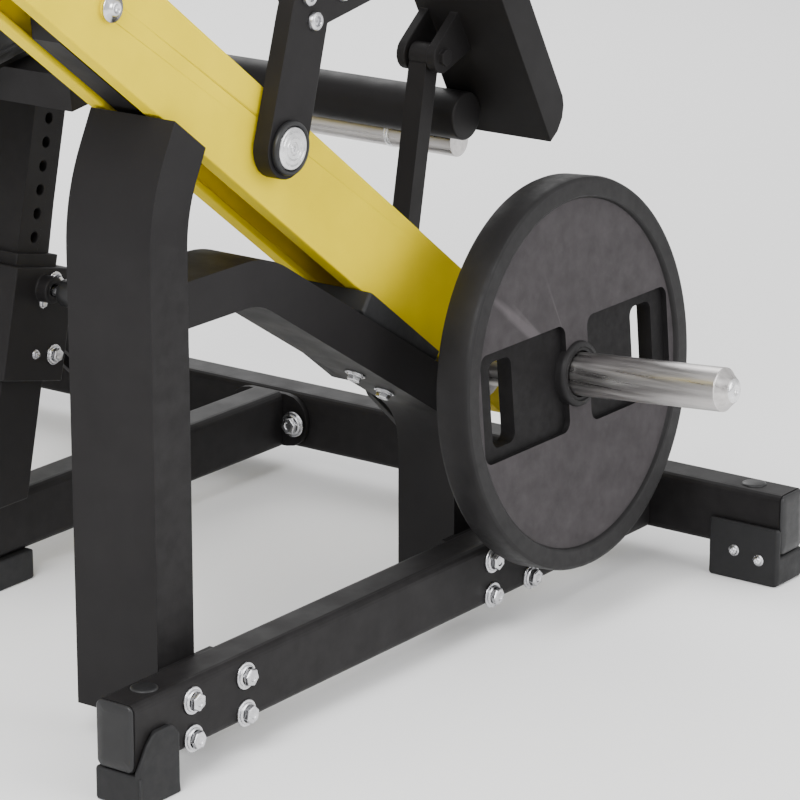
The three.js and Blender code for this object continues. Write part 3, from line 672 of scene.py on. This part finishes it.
# ---- Padded seat and back ----
def simulate_pad(name, node, cap):
    """A cushion blown up by cloth simulation from a slightly smaller copy of its solid."""
    source = NODES[node]
    mesh = source.data.copy()
    pad = bpy.data.objects.new(name, mesh)
    bpy.context.scene.collection.objects.link(pad)
    mesh.materials.clear()
    bm = bmesh.new()
    bm.from_mesh(mesh)
    bmesh.ops.remove_doubles(bm, verts=bm.verts, dist=0.00005)
    centre = sum((v.co for v in bm.verts), Vector()) / len(bm.verts)
    normal = pad_normal(node)
    along = Vector((0, 1, 0)).cross(normal).normalized()
    bmesh.ops.subdivide_edges(bm, edges=bm.edges, cuts=1)
    for v in bm.verts:
        d = v.co - centre
        v.co = centre + normal * d.dot(normal) * 0.70 + along * d.dot(along) * 0.972
        v.co.y += d.y * 0.955
    bm.to_mesh(mesh)
    bm.free()
    bpy.context.view_layer.update()
    bevel = pad.modifiers.new("round", "BEVEL")
    bevel.width = 0.014
    bevel.segments = 4
    bevel.limit_method = "ANGLE"
    bevel.angle_limit = math.radians(50)
    remesh = pad.modifiers.new("remesh", "REMESH")
    remesh.mode = "VOXEL"
    remesh.voxel_size = 0.006
    bake(pad)
    rest = [v.co.copy() for v in pad.data.vertices]
    cloth = pad.modifiers.new("cloth", "CLOTH")
    cloth.settings.use_pressure = True
    cloth.settings.uniform_pressure_force = 4
    cloth.settings.effector_weights.gravity = 0
    cloth.settings.tension_stiffness = 15
    cloth.settings.compression_stiffness = 15
    cloth.settings.quality = 5
    cloth.point_cache.frame_start = 1
    cloth.point_cache.frame_end = 20
    for number in range(1, 21):
        bpy.context.scene.frame_set(number)
    bake(pad)
    bpy.context.scene.frame_set(1)
    for v, start in zip(pad.data.vertices, rest):
        move = v.co - start
        if move.length > cap:
            v.co = start + move.normalized() * cap
    box_low, box_high = pad_limits(node, centre, normal, along)
    for v in pad.data.vertices:
        d = v.co - centre
        n = min(max(d.dot(normal), box_low[0]), box_high[0] + 0.006)
        a = min(max(d.dot(along), box_low[1] - 0.004), box_high[1] + 0.004)
        y = min(max(d.y, box_low[2] - 0.004), box_high[2] + 0.004)
        v.co = centre + normal * n + along * a + Vector((0, y, 0))
    return pad, centre, normal, along


def pad_normal(node):
    """Direction of a pad's broad face, from its own faces."""
    best, area = None, 0
    for face in NODES[node].data.polygons:
        if abs(face.normal.y) < 0.1 and face.area > area:
            best, area = face.normal.copy(), face.area
    normal = best if best.z > 0 else -best
    return normal.normalized()


def pad_limits(node, centre, normal, along):
    rows = []
    for v in NODES[node].data.vertices:
        d = v.co - centre
        rows.append((d.dot(normal), d.dot(along), d.y))
    return [min(r[i] for r in rows) for i in range(3)], [max(r[i] for r in rows) for i in range(3)]


PAD_CAP = 0.016  # the furthest that a point of a cushion swells
SEAM_IN = 0.045  # the inner seam's distance from the pad's edge


def add_pad(name, node, body, channels):
    pad, centre, normal, along = simulate_pad(name, node, PAD_CAP)
    low, high = pad_limits(node, centre, normal, along)
    middle_n = (low[0] + high[0]) / 2
    for v in pad.data.vertices:
        d = v.co - centre
        if d.dot(normal) < middle_n:
            continue
        a, y = d.dot(along), d.y
        groove = 0.0
        for place in channels:
            groove += math.exp(-((a - place) / 0.006) ** 2)
        edge = min(high[1] - abs(a), high[2] - abs(y))
        groove += math.exp(-((edge - SEAM_IN) / 0.006) ** 2) if edge > 0.02 else 0
        pucker = 0.0012 * math.sin(y * 95 + a * 31) * math.exp(-((edge - SEAM_IN) / 0.02) ** 2)
        v.co -= normal * (0.0055 * min(groove, 1.1) + pucker)
    smooth = pad.modifiers.new("smooth", "SMOOTH")
    smooth.factor = 0.5
    smooth.iterations = 6
    levels = pad.modifiers.new("levels", "SUBSURF")
    levels.levels = 1
    levels.render_levels = 1
    bake(pad)
    for face in pad.data.polygons:
        face.use_smooth = True
    pad.data.materials.clear()
    pad.data.materials.append(PAD)
    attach(pad, body)
    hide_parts(node)
    add_piping(name, pad, centre, normal, along, low, high, body)
    return pad


def surface_of(pad):
    bm = bmesh.new()
    bm.from_mesh(pad.data)
    tree = BVHTree.FromBMesh(bm)
    bm.free()
    return tree


def add_piping(name, pad, centre, normal, along, low, high, body):
    """A corded seam round the pad's edge, and stitches beside the inner seam."""
    tree = surface_of(pad)
    level = low[0] + (high[0] - low[0]) * 0.30
    points = []
    count = 220
    for k in range(count):
        angle = 2 * math.pi * k / count
        way = along * math.cos(angle) * (high[1] - low[1])
        way.y += math.sin(angle) * (high[2] - low[2])
        way.normalize()
        start = centre + normal * level + along * (low[1] + high[1]) / 2 + way * 0.9
        hit = tree.ray_cast(start, -way)
        if hit[0] is not None:
            points.append(hit[0] - way * 0.0008)
    piece(f"{name}_piping", sweep(points, 0.0032, 8, closed=True), PAD, body)
    stitches = []
    half_a, half_y = high[1] - SEAM_IN - 0.008, high[2] - SEAM_IN - 0.008
    corner = 0.03
    path = []
    for sa, sy, start in ((1, 1, 0), (-1, 1, 90), (-1, -1, 180), (1, -1, 270)):
        for k in range(7):
            angle = math.radians(start) + math.pi / 2 * k / 6
            a = sa * (half_a - corner) + corner * math.cos(angle)
            y = sy * (half_y - corner) + corner * math.sin(angle)
            path.append((a, y))
    path.append(path[0])
    pitch, gap, carried = 0.0075, 0.0028, 0.0
    for (a0, y0), (a1, y1) in zip(path, path[1:]):
        length = math.hypot(a1 - a0, y1 - y0)
        travel = carried
        while travel + pitch - gap < length:
            ends = []
            for t in (travel, travel + pitch - gap):
                f = t / length
                over = centre + along * (a0 + (a1 - a0) * f) + normal * 0.2
                over.y += y0 + (y1 - y0) * f
                hit = tree.ray_cast(over, -normal)
                if hit[0] is not None:
                    ends.append(hit[0])
            if len(ends) == 2:
                top = (ends[0] + ends[1]) / 2 + normal * 0.0007
                sunk = normal * 0.0006
                stitches.append(sweep([ends[0] - sunk, top, ends[1] - sunk], 0.00055, 5))
            travel += pitch
        carried = max(travel - length, 0)
    if stitches:
        piece(f"{name}_stitches", merged(stitches), THREAD, body)


add_pad("seat_cushion", "seat_pad", "seat", (0.06,))
add_pad("back_cushion", "back_pad", "back", (-0.12, 0.12))

# ---- Grips, foot mat and lower bar ----
def add_grips():
    for side, _ in SIDES:
        node = f"{side}_grip"
        verts = [v.co for v in NODES[node].data.vertices]
        low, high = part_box(node)
        centre = (low + high) / 2
        way = grip_direction(verts)
        reach = max((v - centre).dot(way) for v in verts)
        profile = [(0, -reach), (0.015, -reach)]
        ribs = 16
        wide = 2 * reach / ribs
        for i in range(ribs):
            base = -reach + 2 * reach * (i + 0.15) / ribs
            for f, r in ((0.0, 0.0150), (0.12, 0.0168), (0.5, 0.0172), (0.7, 0.0168), (0.8, 0.0150)):
                profile.append((r, min(base + f * wide, reach - 0.001)))
        profile += [(0.0165, reach - 0.0008), (0.014, reach), (0, reach)]
        grip = turned_piece(f"{node}_detail", profile, centre, way, 40, GRIP, "seat")
        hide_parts(node)


def grip_direction(verts):
    """The long axis of a round bar that lies in the XZ plane."""
    centre = sum(verts, Vector()) / len(verts)
    xx = sum((v.x - centre.x) ** 2 for v in verts)
    zz = sum((v.z - centre.z) ** 2 for v in verts)
    xz = sum((v.x - centre.x) * (v.z - centre.z) for v in verts)
    angle = 0.5 * math.atan2(2 * xz, xx - zz)
    return Vector((math.cos(angle), 0, math.sin(angle)))


add_grips()


RIB = ((-0.0045, -0.001), (-0.0034, 0.0016), (0.0034, 0.0016), (0.0045, -0.001))  # a rib's section


def add_mat_ribs():
    """Moulded ribs across the foot mat."""
    source = NODES["foot_mat"]
    best = max(source.data.polygons, key=lambda f: f.area if f.normal.x < -0.1 else 0)
    normal = best.normal.copy()
    up = Vector((0, 1, 0)).cross(normal).normalized()
    if up.z < 0:
        up = -up
    verts = [v.co for v in source.data.vertices]
    centre = sum(verts, Vector()) / len(verts)
    top = max((v - centre).dot(normal) for v in verts)
    half = max((v - centre).dot(up) for v in verts)
    wide = max(v.y for v in verts)
    ribs = []
    count = 26
    for i in range(count):
        place = -half + 2 * half * (i + 0.5) / count
        middle_at = centre + normal * top + up * place
        rows = []
        for y in (-wide + 0.012, wide - 0.012):
            at = Vector((middle_at.x, y, middle_at.z))
            rows.append([at + up * a + normal * b for a, b in RIB])
        bm = bmesh.new()
        loops = [[bm.verts.new(p) for p in row] for row in rows]
        for k in range(4):
            m = (k + 1) % 4
            bm.faces.new((loops[0][k], loops[0][m], loops[1][m], loops[1][k]))
        bm.faces.new(loops[0])
        bm.faces.new(loops[1])
        ribs.append(bm)
    piece("foot_mat_ribs", merged(ribs), MAT, "press_frame", smooth=False)


add_mat_ribs()


def ring_on_bar(name, node, ys, radius, body, material):
    low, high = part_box(node)
    centre = (low + high) / 2
    rings = []
    for y in ys:
        r = radius
        profile = [(r - 0.0004, -0.004), (r + 0.0009, -0.0035), (r + 0.0011, 0), (r + 0.0009, 0.0035),
                   (r - 0.0004, 0.004), (r - 0.0016, 0.003), (r - 0.0016, -0.003), (r - 0.0004, -0.004)]
        rings.append(turned_mesh(profile, axis_matrix(Vector((centre.x, y, centre.z)), (0, 1, 0)), 48))
    piece(name, merged(rings), material, body)


RING_PLACES = (-0.195, -0.155, 0.155, 0.195)
ring_on_bar("lower_bar_rings", "press_lower_bar", RING_PLACES, 0.020, "press_frame", STEEL)


# ---- Horn noses ----
def add_horn_details():
    for side, s in SIDES:
        way = Vector((0, s * math.cos(HORN_TILT), math.sin(HORN_TILT)))
        verts = [v.co for v in NODES[f"{side}_weight_horn"].data.vertices]
        tip = max(verts, key=lambda c: c.dot(way))
        near = [v for v in verts if (tip - v).dot(way) < 0.0015]
        at = sum(near, Vector()) / len(near)
        dome = [(0.0138, -0.0008), (0.0136, 0.0), (0.0115, 0.0014), (0.0075, 0.0024), (0.0042, 0.0028),
                (0.0038, 0.0024), (0.0036, 0.0004), (0, 0.0)]
        turned_piece(f"{side}_horn_nose", dome, at, way, 40, STEEL, f"{side}_lever")


add_horn_details()


# ---- Weld beads where tubes meet ----
COLUMN_FOOT = (-0.288, -0.202)  # reach of the plate at the column's foot, on X
WELD_HEIGHT = 0.064  # above the rail's lower face


def add_welds():
    for side, s in SIDES:
        low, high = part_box(f"{side}_side_rail")
        top = low.z + WELD_HEIGHT
        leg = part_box(f"{side}_bent_tube")[1].x
        y = high.y + 0.0006 if s < 0 else low.y - 0.0006
        spans = (("column", *COLUMN_FOOT), ("leg", leg - 0.108, leg - 0.004))
        for place, x0, x1 in spans:
            weld_bead(f"{side}_{place}_weld", [Vector((x0, y, top)), Vector((x1, y, top))], 0.0042, "frame")


add_welds()


# ---- Seat post fittings ----
COLLAR_FACE = -0.068
COLLAR_BOLTS = (  # x, z, size
    (0.0764, 0.372, 0.0085), (0.0711, 0.285, 0.0085), (0.055, 0.350, 0.004), (0.040, 0.292, 0.004))
KNOB = [(0, -0.003), (0.012, -0.003), (0.015, -0.0005), (0.0155, 0.006), (0.0155, 0.018), (0.0135, 0.024),
        (0, 0.0245)]


def add_post_details():
    for i, (x, z, size) in enumerate(COLLAR_BOLTS):
        at = Vector((x, COLLAR_FACE, z))
        bolt = piece(f"collar_bolt_{i}", hex_bolt_mesh(at, (0, -1, 0), size), ZINC, "frame")
        soften(bolt, 0.0004, 2)
    low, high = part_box("seat_pin")
    centre = (low + high) / 2
    at = Vector((centre.x, low.y, centre.z))
    profile = [(r * 1.06, KNOB[-1][1] - h) for r, h in reversed(KNOB)]
    turned_piece("pin_knob", profile, at, (0, 1, 0), 40, CAP_BLACK, "seat_pin")


add_post_details()


# ---- Bolts through the bent tubes ----
TUBE_BOLTS = ((0.1018, 0.3071), (0.1541, 0.2708))
TUBE_BOLT_Y = 0.480
TUBE_UNDER = Vector((-0.525, 0, -0.851))  # square to the tube's underside


def add_tube_bolts():
    for side, s in SIDES:
        mesh = NODES[f"{side}_bent_tube"].data
        tree = BVHTree.FromPolygons([v.co for v in mesh.vertices], [list(f.vertices) for f in mesh.polygons])
        for i, (x, z) in enumerate(TUBE_BOLTS):
            start = Vector((x, s * TUBE_BOLT_Y, z)) + TUBE_UNDER * 0.2
            hit = tree.ray_cast(start, -TUBE_UNDER)
            if hit[0] is None:
                continue
            head = hex_bolt_mesh(hit[0] + TUBE_UNDER * 0.0001, TUBE_UNDER, 0.0085, 0.4 * i)
            bolt = piece(f"{side}_tube_bolt_{i}", head, ZINC, "frame")
            soften(bolt, 0.0006, 2)


add_tube_bolts()

# ---- Stage and light ----
def add_stage():
    bm = bmesh.new()
    bmesh.ops.create_grid(bm, x_segments=1, y_segments=1, size=30)
    mesh = bpy.data.meshes.new("floor")
    bm.to_mesh(mesh)
    bm.free()
    floor = bpy.data.objects.new("floor", mesh)
    bpy.context.scene.collection.objects.link(floor)
    material = start_material("floor", (0.95, 0.95, 0.95), 0.95, Specular_IOR_Level=0.1)[0]
    mesh.materials.append(material)
    floor.location.z = -0.0006


def add_area(name, at, look, size, watts):
    data = bpy.data.lights.new(name, "AREA")
    data.energy = watts
    data.size = size
    light = bpy.data.objects.new(name, data)
    bpy.context.scene.collection.objects.link(light)
    light.location = at
    light.rotation_mode = "QUATERNION"
    light.rotation_quaternion = (Vector(look) - Vector(at)).to_track_quat("-Z", "Y")


def add_light():
    world = bpy.data.worlds.new("studio")
    world.use_nodes = True
    background = world.node_tree.nodes["Background"]
    background.inputs["Color"].default_value = (1, 1, 1, 1)
    background.inputs["Strength"].default_value = 1.05
    bpy.context.scene.world = world
    add_area("key", (-3.2, -1.2, 3.4), (0, 0, 0.5), 2.4, 230)
    add_area("side", (0.6, -4.2, 2.0), (0, 0, 0.5), 2.6, 110)
    add_area("back", (2.8, 2.6, 3.0), (0, 0, 0.5), 2.6, 90)


add_stage()
add_light()
